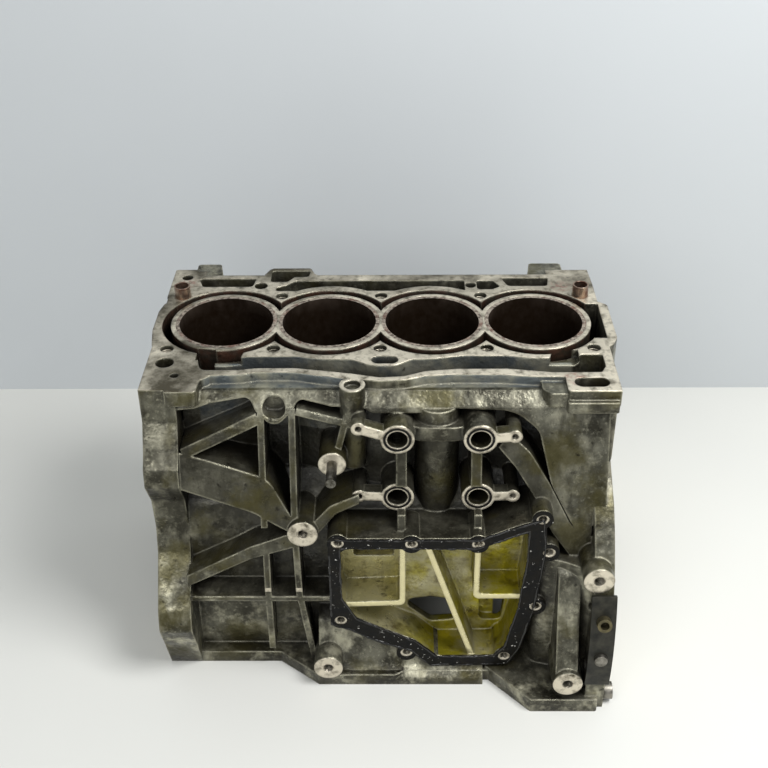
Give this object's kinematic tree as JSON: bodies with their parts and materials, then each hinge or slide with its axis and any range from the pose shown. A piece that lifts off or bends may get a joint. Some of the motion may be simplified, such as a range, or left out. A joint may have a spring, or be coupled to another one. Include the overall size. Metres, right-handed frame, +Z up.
{
  "type": "engine block",
  "caption": "Open-deck inline engine block with cast-in liners, main bearing caps, front breather opening and gearbox flange.",
  "frame": {"origin": "crankshaft axis at the middle main bearing", "axes": "+X along the crankshaft to the gearbox end, +Y to the rear side, +Z up the cylinders to the deck face"},
  "size_m": [0.364, 0.3428, 0.27],
  "materials": {
    "cast_aluminium": "die cast, grimy",
    "liner_iron": "honed, lightly rusted",
    "cap_iron": "as cast",
    "bolt_steel": "phosphated",
    "sleeve_steel": "lightly rusted",
    "seal_rubber": "matte",
    "sealant": "semi-gloss",
    "black_steel": "satin"
  },
  "bodies": {
    "root": {"engine_block": "cast_aluminium", "cylinder_liner_1": "liner_iron", "cylinder_liner_2": "liner_iron", "cylinder_liner_3": "liner_iron", "cylinder_liner_4": "liner_iron", "main_bearing_cap_1": "cap_iron", "main_bearing_cap_2": "cap_iron", "main_bearing_cap_3": "cap_iron", "main_bearing_cap_4": "cap_iron", "main_bearing_cap_5": "cap_iron", "main_cap_bolts": "bolt_steel", "head_dowel_sleeve_1": "sleeve_steel", "head_dowel_sleeve_2": "sleeve_steel", "gearbox_dowel_1": "sleeve_steel", "gearbox_dowel_2": "sleeve_steel", "port_seal_1": "seal_rubber", "port_seal_2": "seal_rubber", "port_seal_3": "seal_rubber", "port_seal_4": "seal_rubber", "breather_sealant": "sealant", "sensor_stud": "bolt_steel", "oil_gallery_plug": "bolt_steel", "end_bracket": "black_steel", "bracket_bush": "sleeve_steel", "bracket_bolt": "bolt_steel"}
  },
  "joints": []
}
